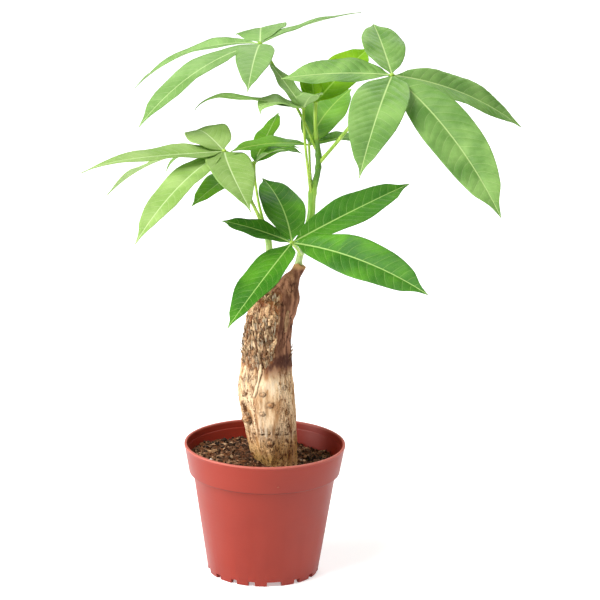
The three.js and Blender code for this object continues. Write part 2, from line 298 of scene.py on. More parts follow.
# %% Mottling group
def make_mottle_group():
    group = bpy.data.node_groups.new("mottle", "ShaderNodeTree")
    for name, way in (("Scale", "INPUT"), ("Grain", "INPUT"), ("Value", "OUTPUT")):
        group.interface.new_socket(name, in_out=way, socket_type="NodeSocketFloat")
    start = group.nodes.new("NodeGroupInput")
    end = group.nodes.new("NodeGroupOutput")
    coords = object_coords(group)
    inputs = {"Vector": coords, "Scale": start.outputs["Scale"], "Detail": 3.0}
    clouds = place(group, "TexNoise", inputs).outputs[0]
    inputs = {"Vector": coords, "Scale": times(group, start.outputs["Scale"], 9.0), "Detail": 2.0}
    grain = place(group, "TexNoise", inputs).outputs[0]
    grainy = times(group, maths(group, "SUBTRACT", grain, 0.5), start.outputs["Grain"])
    total = maths(group, "ADD", ramp(group, clouds, 0.3, 0.7), grainy, clamp=True)
    group.links.new(total, end.inputs["Value"])
    return group


mottle_group = make_mottle_group()


def mottle(tree, scale, grain):
    inputs = {"Scale": scale, "Grain": grain}
    return place(tree, "Group", inputs, node_tree=mottle_group).outputs["Value"]


# %% [markdown]
# ## The nursery pot
# The real pot is thin moulded plastic: a tapered wall, a wider collar with a small step under it, and a
# thin rounded lip. Such a pot is a turned form, so its section is drawn once as a closed line and spun
# round the axis. The corners of the section are rounded before the spin, so that every edge catches a soft
# line of light.

# %% Pot dimensions
rim_radius = 60
pot_height = 99
foot_radius = 41.3
wall = 1.3
collar_height = 22
collar_bottom_radius = 56.1
body_top_radius = 53.1
lip_width = 1.9
foot_height = 4
floor_thickness = 1.6
foot_ring_width = 3
centre_pad_radius = 9
spin_steps = 160

collar_bottom = pot_height - collar_height
body_top = collar_bottom - 0.5
floor_top = foot_height + floor_thickness
foot_inside = foot_radius - foot_ring_width
inside_slope = (body_top_radius - foot_radius) / body_top
floor_inside = foot_radius + inside_slope * floor_top - wall
ridge_drop = 5.5

# Section corners, each with the radius of its rounding

pot_section = [
    (centre_pad_radius, 0, 0.4), (centre_pad_radius + 1, foot_height, 0.4),
    (foot_inside - 1, foot_height, 0.4), (foot_inside, 0, 0.4), (foot_radius, 0, 0.8),
    (body_top_radius, body_top, 0.5), (collar_bottom_radius, collar_bottom, 0.9),
    (rim_radius - 0.4, pot_height - 2.4, 0.4), (rim_radius, pot_height - 1.8, 0.4),
    (rim_radius, pot_height, 0.7), (rim_radius - lip_width, pot_height, 0.6),
    (rim_radius - lip_width - 0.5, pot_height - ridge_drop, 0.3),
    (rim_radius - lip_width - 0.8, pot_height - ridge_drop - 0.3, 0.3),
    (collar_bottom_radius - wall, collar_bottom + 1, 1.2), (body_top_radius - wall, body_top - 1, 1.2),
    (floor_inside, floor_top, 0.8),
]


# %% Round the section's corners
def rounded(corners, steps=4):
    line = []
    for i, (r, z, size) in enumerate(corners):
        here = Vector((r, z))
        before = Vector(corners[i - 1][:2]) if i > 0 else Vector((0, z))
        after = Vector(corners[i + 1][:2]) if i + 1 < len(corners) else Vector((0, z))
        back, ahead = before - here, after - here
        reach = min(size, 0.45 * back.length, 0.45 * ahead.length)
        enter = here + back.normalized() * reach
        leave = here + ahead.normalized() * reach
        for step in range(steps + 1):
            t = step / steps
            line.append(enter * (1 - t) ** 2 + here * (2 * t * (1 - t)) + leave * t ** 2)
    return line


# %% Spin the pot
pot_mesh = bmesh.new()
section = [Vector((0, 0))] + rounded(pot_section) + [Vector((0, floor_top))]
ring = [pot_mesh.verts.new((point.x, 0, point.y)) for point in section]
edges = [pot_mesh.edges.new(pair) for pair in zip(ring, ring[1:])]
bmesh.ops.spin(pot_mesh, geom=ring + edges, axis=(0, 0, 1), cent=(0, 0, 0), angle=2 * math.pi,
               steps=spin_steps, use_merge=True)
bmesh.ops.remove_doubles(pot_mesh, verts=pot_mesh.verts, dist=1e-4)
bmesh.ops.recalc_face_normals(pot_mesh, faces=pot_mesh.faces)
print("pot section points:", len(section))


# %% [markdown]
# ## Cuts in the pot's foot
# The ring that the pot stands on has notches, a wide one after every three narrow ones, and the raised
# floor has round drainage holes. Both are cut away with one Boolean modifier: a mesh of boxes and short
# cylinders is the cutter, and it is thrown away afterwards.

# %% Cut the notches and the drainage holes
notch_height = 3.5
notch_width = 5
wide_notch_width = 11
first_notch_turn = 282.5
notch_turns = (0, 25.5, 47, 66.5)
drain_hole_count = 8
drain_hole_radius = 3.2
drain_hole_circle = 29

cutter_mesh = bmesh.new()
for quarter in (0, 90, 180, 270):
    for notch_turn in notch_turns:
        across = wide_notch_width if notch_turn == 0 else notch_width
        size = Matrix.Diagonal((foot_ring_width + 6, across, 2 * notch_height, 1))
        out = Matrix.Translation((foot_radius - foot_ring_width / 2, 0, 0))
        turn = Matrix.Rotation(math.radians(first_notch_turn + quarter + notch_turn), 4, "Z")
        bmesh.ops.create_cube(cutter_mesh, size=1, matrix=turn @ out @ size)
for i in range(drain_hole_count):
    out = Matrix.Translation((drain_hole_circle, 0, foot_height + floor_thickness / 2))
    turn = Matrix.Rotation(2 * math.pi * i / drain_hole_count, 4, "Z")
    bmesh.ops.create_cone(cutter_mesh, cap_ends=True, segments=24, radius1=drain_hole_radius,
                          radius2=drain_hole_radius, depth=3 * floor_thickness, matrix=turn @ out)


# %% [markdown]
# ## Pot material
# Terracotta-coloured polypropylene is a warm red-brown with a soft sheen. Light goes a little way into it,
# and handling leaves it unevenly matt, so roughness follows faint clouds, and the mould leaves very fine
# rings. A pale band on the lip is a painted highlight, and a dark line under the collar's step is painted
# shade.

# %% Pot material
# Heights in metres of a pale band on the lip, which is a painted highlight, and of the collar's step, under
# which a thin dark line is painted shade
lip_highlight_span = 0.0972, 0.0984
step_height = 0.0768
step_shade_span = 0.0012, 0.0004

pot_plastic, tree, shader = new_material("terracotta_plastic", 0.5, specular=0.3)
clouds = mottle(tree, 22, 0.5)
height = axes(tree, object_coords(tree))["Z"]
from_step = maths(tree, "ABSOLUTE", maths(tree, "SUBTRACT", height, step_height))
colour = layered(tree, blend(tree, clouds, rgb(135, 43, 29), rgb(142, 47, 32)), [
    # Painted highlight: a pale band along the lip
    (ramp(tree, height, *lip_highlight_span, 0, 0.6), rgb(196, 112, 98)),
    # Painted shade: a dark line just under the collar's step
    (ramp(tree, from_step, *step_shade_span, 0, 0.6), rgb(74, 26, 18)),
])
colour_with(tree, shader, colour)
tree.links.new(maths(tree, "ADD", times(tree, clouds, 0.1), 0.38), shader.inputs["Roughness"])
light_enters(shader, 0.08, (0.004, 0.001, 0.0007))
rings = object_noise(tree, 3.0, detail=2.0, stretch=(6, 6, 160), roughness=0.5)
bump_into(tree, shader, rings, 0.06)


# %% Finish the pot
pot = finish(pot_mesh, "nursery_pot", [pot_plastic], ["pot"])
cutter = make_object(cutter_mesh, "cutter")
cut = pot.modifiers.new("cut", "BOOLEAN")
cut.operation = "DIFFERENCE"
cut.solver = "EXACT"
cut.object = cutter
apply_modifiers(pot)
bpy.data.meshes.remove(cutter.data)
pot.data.shade_smooth()
pot.data.set_sharp_from_angle(angle=math.radians(35))


# %% [markdown]
# ## The trunk's form
# A money tree is often a thick cutting that was pruned flat and grew new shoots. The old wood is swollen at
# half height, and at its top right a living neck grows on and tapers into the green shoot. Two tubes
# overlap where the neck leaves the wood. A voxel remesh melts them into one skin, with a mesh fine enough
# for bark.

# %% Trunk stations
trunk_stations = [
    (11, 0, 36, 9), (11, 0, 60, 13), (9.7, 0, 84, 14.8), (6.2, 0, 101, 18), (3.2, 0, 120, 19.8),
    (0.4, 0, 140, 20.6), (0, 0, 160, 18.8), (0.4, 0, 178, 17), (2.6, 0, 196, 17), (4.6, 0, 209, 16),
    (5.6, 0, 214, 10),
]
neck_stations = [
    (8.5, -0.5, 190, 9), (10.5, -0.5, 202, 11.5), (13.2, -0.5, 213, 11.3), (16.8, -0.5, 223, 7),
    (20.8, -0.3, 229.5, 4.4), (24.8, 0, 236.3, 4.4),
]

# Knobs where old branches were cut: turn from +X, height, how far they stand out, and size

knobs = [(214, 121, 2.6, 6), (278, 134, 1.0, 4), (265, 104, 1.2, 4), (60, 132, 2.0, 5), (120, 105, 1.8, 5)]
trunk_reach = 19
trunk_bottom = trunk_stations[0][2]
trunk_length = trunk_stations[-1][2] - trunk_bottom
cork_step = 0.5
cork_from = 150, 170


def trunk_swell(turn, t):
    angle = -2 * math.pi * turn
    height = trunk_bottom + t * trunk_length
    ridges = 0.45 * math.sin(5 * angle + 0.05 * height) + 0.35 * math.sin(9 * angle - 0.11 * height)
    cork = cork_step * max(0, -math.cos(angle)) * smoothstep(*cork_from, height)
    bump = 0
    for knob_turn, knob_height, out, size in knobs:
        apart = angle - math.radians(knob_turn)
        sideways = trunk_reach * math.atan2(math.sin(apart), math.cos(apart))
        bump += out * bell(math.hypot(sideways, height - knob_height) / size)
    return ridges + cork + bump


# %% Remesh the trunk
bark_voxel = 0.00055

trunk_mesh = tube(trunk_stations, 72, 150, trunk_swell)
join_into(trunk_mesh, tube(neck_stations, 40, 40))
trunk = finish(trunk_mesh, "trunk_bark", [], ["trunk"])
remesh = trunk.modifiers.new("remesh", "REMESH")
remesh.mode = "VOXEL"
remesh.voxel_size = bark_voxel
melt = trunk.modifiers.new("melt", "SMOOTH")
melt.factor = 0.5
melt.iterations = 8
apply_modifiers(trunk)


# %% [markdown]
# ## Bark as relief
# Three kinds of bark meet on this trunk. Old cork covers the upper left in upright plates with torn edges.
# The living side at the upper right is smooth and red-brown. Below a dark band the wood is pale and smooth,
# with fine upright wrinkles and small scars. Each vertex moves along its normal by a height that is worked
# out from noise, and the same place decides its colour. The colour masks are stored on the mesh as
# attributes for the material.

# %% Where each kind of bark lies
trunk_axis = [Vector(station[:3]) for station in trunk_stations]
band_heights = 157, 163


def axis_at(height):
    for low, high in zip(trunk_axis, trunk_axis[1:]):
        if height <= high.z:
            part = max(0, (height - low.z) / (high.z - low.z))
            return low.lerp(high, part)
    return trunk_axis[-1]


def apart(turn, height, spot_turn, spot_height):
    away = turn - math.radians(spot_turn)
    return trunk_reach * math.atan2(math.sin(away), math.cos(away)), height - spot_height


def bark_zones(point):
    axis = axis_at(point.z)
    turn = math.atan2(point.y - axis.y, point.x - axis.x)
    wander = 4 * drift(turn * 1.4, point.z * 0.05, 3)
    ragged = 5 * drift(turn * 9, point.z * 0.09, 6)
    upper = smoothstep(*band_heights, point.z + wander + ragged + 2 * math.cos(turn))
    leftness = -math.cos(turn - 0.35) + 0.25 * drift(turn * 4, point.z * 0.06, 9)
    retreat = 0.02 * max(0, 176 - point.z)
    cork = upper * smoothstep(-0.2, 0.05, leftness - retreat)
    return turn, upper, cork


# %% Height of the bark
def plates(turn, height, across, along, seed):
    spot = Vector((turn * trunk_reach / across, height / along, seed))
    distances, points = noise.voronoi(spot)
    edge = min(distances[1] - distances[0], 0.5) * 2
    rise = noise.cell(points[0] * 7.3)
    return edge, rise


# How high or deep each kind of relief is, in millimetres

wrinkle_height, fine_height, rib_height = 0.3, 0.2, 0.45
plate_height, small_plate_height, cork_sink = 1.3, 0.7, 0.9
strip_height, strip_groove, score_depth, crack_depth = 0.9, 0.4, 0.7, 0.6

# Buds: turn from +X, height, how far they stand out, and size

bark_scars = [
    (214, 121, 3.4, 4.4), (264, 142, 0.9, 1.8), (278, 134, 1.5, 2.3), (258, 127, 0.9, 1.7),
    (314, 127, 0.6, 1.5), (314, 146, 0.7, 1.7), (222, 141, 0.6, 1.8), (265, 104, 1.4, 2.6),
    (30, 125, 0.9, 2.3), (95, 138, 0.8, 2.2), (140, 112, 1.2, 3.0), (170, 131, 0.7, 2.0),
    (62, 108, 0.8, 2.2), (312, 117, 0.4, 1.2), (120, 95, 0.7, 1.8),
]

# The old cut line runs round the foot at this height

score_height = 110.3

# Worn places where the outer skin is gone: turn, height, half width, half height

worn_places = [(226, 151, 6, 9), (258, 114, 4, 11), (290, 148, 9, 6), (100, 140, 8, 10), (20, 118, 6, 9)]

# A strip of pale bark that clings below the cork: turn and height of its ends, and its half width

strip_top, strip_bottom, strip_half_width = (258, 166), (243, 139), 1.1


def strip_at(turn, height):
    along = (height - strip_bottom[1]) / (strip_top[1] - strip_bottom[1])
    middle = strip_bottom[0] + (strip_top[0] - strip_bottom[0]) * along + 4 * math.sin(math.pi * along)
    sideways = apart(turn, height, middle, height)[0]
    ends = smoothstep(-0.05, 0.1, along) * (1 - smoothstep(0.9, 1.05, along))
    return sideways / strip_half_width, ends


def ribbed(turn, height):
    edges = smoothstep(0.2, 0.75, abs(math.cos(turn)))
    foot = 1 - smoothstep(100, 124, height)
    return max(edges, foot)


# Each bud is a raised dome with a dark ring and a dark pit. The ring is made darker on its lower right, and
# that part is painted shadow
def scars_at(turn, height):
    rise, dark, buds = 0, 0, 0
    for spot_turn, spot_height, out, size in bark_scars:
        sideways, upward = apart(turn, height, spot_turn, spot_height)
        away = math.hypot(sideways, upward * 1.15) / size
        if away > 2.5:
            continue
        away *= 1 + 0.4 * drift(sideways * 0.7, upward * 0.7, spot_turn)
        bud, ring, pit = bell(away / 0.66), bell((away - 1.05) / 0.3), bell(away / 0.28)
        rise += out * (1.5 * bud - 0.4 * ring - 0.5 * pit)
        dark += ring * (0.6 + 0.4 * smoothstep(-0.8, 0.8, (sideways - upward) / size)) + 0.8 * pit
        buds += bud
    return rise, dark, buds


def worn_at(turn, height, wrinkle):
    worn = 0
    for spot_turn, spot_height, half_width, half_height in worn_places:
        sideways, upward = apart(turn, height, spot_turn, spot_height)
        worn += bell(sideways / half_width) * bell(upward / half_height)
    return min(worn * smoothstep(-0.3, 0.2, wrinkle), 1)


def score_at(turn, height):
    wobble = 0.6 * math.sin(3 * turn) + 0.5 * drift(turn * 5, 0, 4)
    line = bell((height - score_height - wobble) / 0.55)
    return line * smoothstep(-0.1, 0.15, drift(turn * 5, 8, 0))


def strokes(x, y, z, depth=3):
    return noise.fractal(Vector((x, y, z)), 0.8, 2.2, depth)


def bark_height(point):
    z = point.z
    turn, upper, cork = bark_zones(point)
    wrinkle = strokes(turn * 8, z * 0.11, 1, depth=4)
    fine = strokes(turn * 26, z * 0.45, 5)
    rib_share = ribbed(turn, z)
    ribs = strokes(turn * 16 + 0.3 * wrinkle, z * 0.07, 21) * rib_share
    smooth = wrinkle_height * wrinkle + fine_height * fine + rib_height * ribs

    edge, rise = plates(turn + 0.1 * wrinkle, z, 2.3, 9, 2)
    small_edge, small_rise = plates(turn, z + 3 * fine, 1.2, 3.6, 7)
    rough = wrinkle_height * wrinkle - cork_sink
    rough += plate_height * rise * smoothstep(0, 0.2, edge)
    rough += small_plate_height * small_rise * smoothstep(0, 0.3, small_edge)
    crevice = cork * max(1 - smoothstep(0, 0.16, edge), 0.8 * (1 - smoothstep(0, 0.2, small_edge)))

    crack_edge = plates(turn + 0.05 * wrinkle, z + 4 * fine, 1.7, 7, 12)[0]
    crack = (1 - smoothstep(0, 0.2, crack_edge)) * (1 - upper)
    crack *= smoothstep(0.1, 0.6, rib_share + 0.6 * drift(turn * 3, z * 0.08, 15))
    scar, dark, buds = scars_at(turn, z)
    score = score_at(turn, z)
    worn = worn_at(turn, z, wrinkle)
    across, strip_ends = strip_at(turn + 0.05 * wrinkle, z)
    strip = math.exp(-across ** 4) * strip_ends
    strip_edge = bell((abs(across) - 1.35) / 0.35) * strip_ends

    height = smooth * (1 - cork) * (1 - 0.6 * worn) + rough * cork * (1 - strip) + scar
    height += strip_height * strip - strip_groove * strip_edge
    height -= score_depth * score + crack_depth * crack
    marks = {
        "cork": cork, "upper": upper, "plate": rise, "small_plate": small_rise, "worn": worn,
        "crevice": max(crevice, crack), "strip": strip, "bud": min(buds, 1),
        # The scar mask holds the scars' dark colour plus painted shadow on the lower right of each bud, and
        # it draws the score line and the strip's edge dark
        "scar": min(dark + 1.3 * score + 0.9 * strip_edge, 1),
    }
    return height, marks


# %% Move the bark and store its masks
neck_from = 212, 220
soil_line = 78, 84

mesh = trunk.data
mesh.update()
moved = []
masks = {}
normals = [normal.vector.copy() for normal in mesh.vertex_normals]
for vert, normal in zip(mesh.vertices, normals):
    point = vert.co / MM
    height, marks = bark_height(point)
    neck = smoothstep(*neck_from, point.z)
    above_soil = smoothstep(*soil_line, point.z)
    moved.extend(vert.co + normal * (height * MM * (1 - 0.6 * neck) * above_soil))
    marks["cork"] *= 1 - neck
    for name, value in marks.items():
        masks.setdefault(name, []).append(value)
mesh.vertices.foreach_set("co", moved)
for name, values in masks.items():
    mesh.attributes.new(name, "FLOAT", "POINT").data.foreach_set("value", values)
mesh.update()
print("bark vertices:", len(mesh.vertices))


# %% [markdown]
# ## Bark material
# The masks choose between four colours: grey-tan cork plates with dark cracks, red-brown living bark, a
# dark band where the two meet, and pale wood below. Fine upright streaks and hairlines run through all of
# them. Low on the trunk the wood turns golden, with a little green algae. Dark scar marks lie over all of
# this, with painted shadow on the lower right of each bud.

# %% Bark material
def mask(tree, name, share=1.0):
    return times(tree, place(tree, "Attribute", attribute_name=name).outputs["Fac"], share)


def hairlines(tree, scale, stretch):
    coords = object_coords(tree)
    inputs = {"Vector": coords, "Scale": scale * 0.4, "Detail": 2.0}
    bend = place(tree, "TexNoise", inputs).outputs[1]
    small = place(tree, "VectorMath", {0: bend, "Scale": 1.2 / scale}, operation="SCALE")
    moved = place(tree, "VectorMath", {0: coords, 1: small.outputs[0]}, operation="ADD")
    mapping = place(tree, "Mapping", {"Vector": moved.outputs[0], "Scale": (1, 1, stretch)})
    inputs = {"Vector": mapping.outputs[0], "Scale": scale}
    cells = place(tree, "TexVoronoi", inputs, feature="DISTANCE_TO_EDGE")
    thin = ramp(tree, cells.outputs["Distance"], 0.18, 0.04)
    return times(tree, thin, ramp(tree, object_noise(tree, 130, detail=3.0), 0.48, 0.6))


# Heights on the trunk, in metres, between which a colour comes in or goes out

grey_from, red_from, golden_below, algae_below = (0.138, 0.144), (0.149, 0.162), (0.112, 0.1), (0.108, 0.088)
band_from, band_to = (0.165, 0.168), (0.1775, 0.1735)
callus_from = 0.232, 0.236

bark, tree, shader = new_material("bark", 0.85, specular=0.12)
streaks = object_noise(tree, 300, detail=5.0, stretch=(1, 1, 0.18))
grain = object_noise(tree, 700, detail=3.0, stretch=(1, 1, 0.4))
patches = object_noise(tree, 55, detail=3.0)
place_on_trunk = axes(tree, object_coords(tree))
sideways, height = place_on_trunk["X"], place_on_trunk["Z"]

greyed = times(tree, ramp(tree, height, *grey_from), ramp(tree, sideways, -0.003, -0.008))
algae = times(tree, ramp(tree, height, *algae_below), ramp(tree, patches, 0.42, 0.62, 0.05, 0.7))
reddened = times(tree, ramp(tree, height, *red_from), ramp(tree, sideways, -0.01, -0.002))
from_middle = maths(tree, "ABSOLUTE", maths(tree, "SUBTRACT", sideways, 0.002))
low_down = ramp(tree, height, 0.11, 0.1)
stringy = maths(tree, "MAXIMUM", ramp(tree, from_middle, 0.006, 0.014, 0.25, 1), low_down)
stringy = times(tree, stringy, hairlines(tree, 460, 0.1))
wood = layered(tree, blend(tree, ramp(tree, streaks, 0.36, 0.58), rgb(182, 138, 96), rgb(230, 198, 158)), [
    (ramp(tree, grain, 0.6, 0.72, 0, 0.55), rgb(122, 86, 54)),
    (mask(tree, "worn", 0.9), blend(tree, greyed, rgb(232, 212, 182), rgb(150, 138, 118))),
    (algae, rgb(168, 146, 66)),
    (ramp(tree, height, *golden_below, 0, 0.5), rgb(226, 170, 104)),
    (times(tree, reddened, 0.85), rgb(128, 84, 62)),
    (times(tree, stringy, 0.9), rgb(112, 66, 36)),
])

ragged_height = maths(tree, "ADD", height, times(tree, streaks, 0.012))
band = times(tree, ramp(tree, ragged_height, *band_from), ramp(tree, ragged_height, *band_to))
living = layered(tree, blend(tree, ramp(tree, streaks, 0.35, 0.68), rgb(90, 58, 44), rgb(160, 114, 88)), [
    (times(tree, hairlines(tree, 420, 0.3), 0.8), rgb(50, 28, 20)),
    (times(tree, band, 0.8), rgb(70, 42, 36)),
    (ramp(tree, height, *callus_from, 0, 0.9), rgb(176, 134, 92)),
    (ramp(tree, grain, 0.6, 0.74, 0, 0.5), rgb(62, 38, 26)),
])

cork_colour = layered(tree, blend(tree, mask(tree, "plate"), rgb(150, 98, 64), rgb(234, 194, 148)), [
    (ramp(tree, mask(tree, "small_plate"), 0.5, 1.0, 0, 0.4), rgb(206, 178, 144)),
    (times(tree, hairlines(tree, 380, 0.25), 0.8), rgb(82, 44, 28)),
    (ramp(tree, streaks, 0.5, 0.75, 0, 0.5), rgb(222, 196, 160)),
    (ramp(tree, grain, 0.56, 0.72, 0, 0.6), rgb(96, 64, 42)),
])

colour = layered(tree, wood, [
    (mask(tree, "upper"), living),
    (mask(tree, "cork"), cork_colour),
    (mask(tree, "strip", 0.8), rgb(232, 206, 168)),
    (mask(tree, "crevice", 0.9), rgb(78, 44, 28)),
    (mask(tree, "bud", 0.6), rgb(156, 106, 70)),
    # Dark scar marks, with painted shadow on the lower right of each bud
    (mask(tree, "scar", 0.9), rgb(62, 38, 24)),
])
colour_with(tree, shader, colour)
bump_into(tree, shader, maths(tree, "ADD", streaks, times(tree, grain, 0.6)), 0.5, 0.0008)
trunk.data.materials.append(bark)
trunk.data.shade_smooth()


# %% [markdown]
# ## Green shoots
# The two shoots are young stems. They swell a little at each node, where a leaf stalk springs off. They are
# tubes again, with the swelling added to the radius. Their green is pale at the foot, deep in the middle
# and yellowish at the tip.

# %% Shoot stations
shoot_right_stations = [
    (22.6, 0, 230, 2.3), (23.2, 0, 240, 2.5), (27.2, 0, 256, 2.8), (31.2, 0, 273, 2.9), (32, 0, 290, 2.9),
    (35.6, 0, 306, 2.1), (35.8, 0, 318, 2.1), (34.2, 0, 330, 2.0),
]
shoot_left_stations = [
    (2.4, 3, 206, 2.6), (1.4, 2, 228, 2.7), (0.9, 1, 250, 2.5), (-1.4, 0.4, 261, 2.1), (-4.2, 0, 268.5, 1.8),
]


def node_swell(middles, out):
    def swell(turn, t):
        return sum(out * bell((t - middle) / 0.02) for middle in middles) + 0.05 * math.sin(12 * turn)
    return swell


# %% Stem material
stem_green, tree, shader = new_material("green_stem", 0.42)
streaks = object_noise(tree, 420, detail=3.0, stretch=(1, 1, 0.12))
height = axes(tree, object_coords(tree))["Z"]
colour = layered(tree, blend(tree, ramp(tree, streaks, 0.35, 0.65), rgb(90, 138, 34), rgb(142, 182, 66)), [
    (ramp(tree, height, 0.262, 0.236, 0, 0.75), rgb(176, 190, 130)),
    (ramp(tree, height, 0.292, 0.304, 0, 0.9), rgb(66, 112, 12)),
    (ramp(tree, height, 0.326, 0.336, 0, 0.9), rgb(152, 190, 50)),
])
colour_with(tree, shader, colour)
light_enters(shader, 0.1, (0.001, 0.0015, 0.0004))
bump_into(tree, shader, streaks, 0.15)


# %% Make the shoots
right_mesh = tube(shoot_right_stations, 32, 160, node_swell((0.1, 0.27, 0.57, 0.75, 0.86), 0.45))
finish(right_mesh, "green_shoot_right", [stem_green], ["shoot_right"])
left_mesh = tube(shoot_left_stations, 32, 110, node_swell((0.35, 0.7, 0.97), 0.4))
finish(left_mesh, "green_shoot_left", [stem_green], ["shoot_left"])


# %% [markdown]
# ## Leaflets
# A pachira leaf is a hand of leaflets on one long stalk. A leaflet springs from the hub in a heading,
# starts at a rise above level, and droops towards its tip. Its outline is a wedge at the hub, widest near
# the middle, and drawn out into a tip. The blade isn't flat: it is folded a little along the midrib, its
# margin waves, and it puffs up between the side veins. A grid holds all of this: each of its points is
# moved to where the blade's formula says. There t runs from 0 at the hub to 1 at the tip, and v from -1 at
# one margin to 1 at the other.

# %% Values that all blades share
wave_count = 2.5
base_half_width = 0.9
step_along = 1.0
step_across = 1.4
blade_thickness = 0.42
vein_lean = 0.45
vein_curve = 1.1
blade_map_size = 60
ripple_height, ruffle_height = 0.9, 0.4
groove_depth, groove_width = 0.35, 1.1


def blade_outline(t, widest):
    fullness = 1.8
    oval = (t / widest) ** (fullness * widest) * ((1 - t) / (1 - widest)) ** (fullness * (1 - widest))
    stalked = 0.35 + 0.65 * smoothstep(0, 0.13, t)
    drawn_out = 1 - 0.45 * smoothstep(0.84, 0.96, t)
    return oval * stalked * drawn_out


def direction(heading, rise):
    heading, rise = math.radians(heading), math.radians(rise)
    return Vector((math.cos(rise) * math.cos(heading), math.cos(rise) * math.sin(heading), math.sin(rise)))


# %% One blade
def blade(hub, leaflet, index, seed, quilting):
    heading, rise, length, width, droop, roll, turn, bend, widest, fold = leaflet
    roll = math.radians(roll)
    phase = 1.3 * index
    rows = round(length / step_along)
    columns = 2 * max(4, round(width / 2 / step_across))
    spacing = 4.2 + 0.028 * length
    centres = [hub.copy()]
    for row in range(1, rows + 1):
        middle = (row - 0.5) / rows
        step = direction(heading + turn * middle, rise - droop * middle ** bend) * (length / rows)
        centres.append(centres[-1] + step)
    mesh = bmesh.new()
    surface = mesh.loops.layers.uv.new("UVMap")
    veins = mesh.loops.layers.uv.new("veins")
    bmesh.ops.create_grid(mesh, x_segments=columns, y_segments=rows, size=0.5)
    for vert in mesh.verts:
        v, t = 2 * vert.co.x, vert.co.y + 0.5
        row = round(t * rows)
        azimuth = math.radians(heading + turn * t)
        along = direction(heading + turn * t, rise - droop * t ** bend)
        level = Vector((math.sin(azimuth), -math.cos(azimuth), 0))
        side = level * math.cos(roll) + level.cross(along) * math.sin(roll)
        normal = side.cross(along)
        oval = blade_outline(min(max(t, 0), 1), widest)
        half = max(base_half_width * (1 - 0.6 * t), width / 2 * oval)
        out = abs(v) * half
        ripple = ripple_height * abs(v) * math.sin(2 * math.pi * wave_count * t + phase + v) * oval
        ruffle = ruffle_height * v * v * oval * drift(t * length / 9, v * 1.5, seed)
        uneven = 0.35 * drift(t * length / 16, v * 0.8 + (3 if v > 0 else 0), seed + 0.5)
        vein = (t * length - vein_lean * out - vein_curve * out * out / width) / spacing
        vein += (0.4 if v > 0 else 0) + uneven
        between = abs(math.sin(math.pi * vein))
        across = smoothstep(0.0, 0.3, abs(v)) * (1 - 0.7 * smoothstep(0.7, 1.0, abs(v)))
        puff = quilting * between ** 0.6 * across * oval * min(1, width / 30)
        groove = groove_depth * bell(out / groove_width) * (1 - 0.7 * t)
        lift = fold * abs(v) * half + ripple + ruffle + puff - groove
        for loop in vert.link_loops:
            loop[surface].uv = (0.5 + v * half / blade_map_size, t * length / blade_map_size)
            loop[veins].uv = (vein, t)
        vert.co = centres[row] + side * (v * half) + normal * lift
    return mesh


# %% [markdown]
# ## Vein pattern
# The side veins leave the midrib at a lean and curve towards the tip, like the barbs of a feather. Each
# blade stores which vein a place belongs to in its second UV map, where whole numbers are veins. The first
# UV map holds millimetres across and along the blade. This group turns both into masks for midrib, side
# veins and net.

# %% Vein group
def uv_parts(group, name):
    return axes(group, place(group, "UVMap", uv_map=name).outputs[0])


def make_vein_group():
    group = bpy.data.node_groups.new("leaf_veins", "ShaderNodeTree")
    for name in ("Midrib", "Side veins", "Net", "Height"):
        group.interface.new_socket(name, in_out="OUTPUT", socket_type="NodeSocketFloat")
    end = group.nodes.new("NodeGroupOutput")

    flat, order = uv_parts(group, "UVMap"), uv_parts(group, "veins")
    t = order[1]
    across = maths(group, "ABSOLUTE", times(group, maths(group, "SUBTRACT", flat[0], 0.5), blade_map_size))
    rib_width = maths(group, "ADD", times(group, t, -0.55), 0.85)
    midrib = ramp(group, maths(group, "DIVIDE", across, rib_width), 1.0, 0.45)
    vein_width = maths(group, "ADD", times(group, across, -0.0022), 0.062)
    from_vein = maths(group, "PINGPONG", order[0], 0.5)
    side_veins = ramp(group, maths(group, "DIVIDE", from_vein, vein_width), 1.0, 0.2)

    uv = place(group, "UVMap", uv_map="UVMap").outputs[0]
    warp = place(group, "TexNoise", {"Vector": uv, "Scale": 14.0, "Detail": 2.0}).outputs[1]
    small = place(group, "VectorMath", {0: warp, "Scale": 0.03}, operation="SCALE").outputs[0]
    warped = place(group, "VectorMath", {0: uv, 1: warp, 2: small}, operation="MULTIPLY_ADD")
    inputs = {"Vector": warped.outputs[0], "Scale": 34.0}
    cells = place(group, "TexVoronoi", inputs, feature="DISTANCE_TO_EDGE")
    net = ramp(group, cells.outputs["Distance"], 0.09, 0.0)

    raised = maths(group, "ADD", times(group, side_veins, -0.5), times(group, net, -0.16))
    raised = maths(group, "ADD", raised, times(group, midrib, -0.5))
    for name, socket in (("Midrib", midrib), ("Side veins", side_veins), ("Net", net), ("Height", raised)):
        group.links.new(socket, end.inputs[name])
    return group


vein_group = make_vein_group()


# %% [markdown]
# ## Leaf materials
# Each leaf has its own green, from the fresh yellow-green of a young leaf to the dark green of the old one
# in front. The upper face is satin, with pale veins. The underside is paler and duller, with raised veins.
# A leaf also lets light through, so part of the light is passed on by a translucent shader.

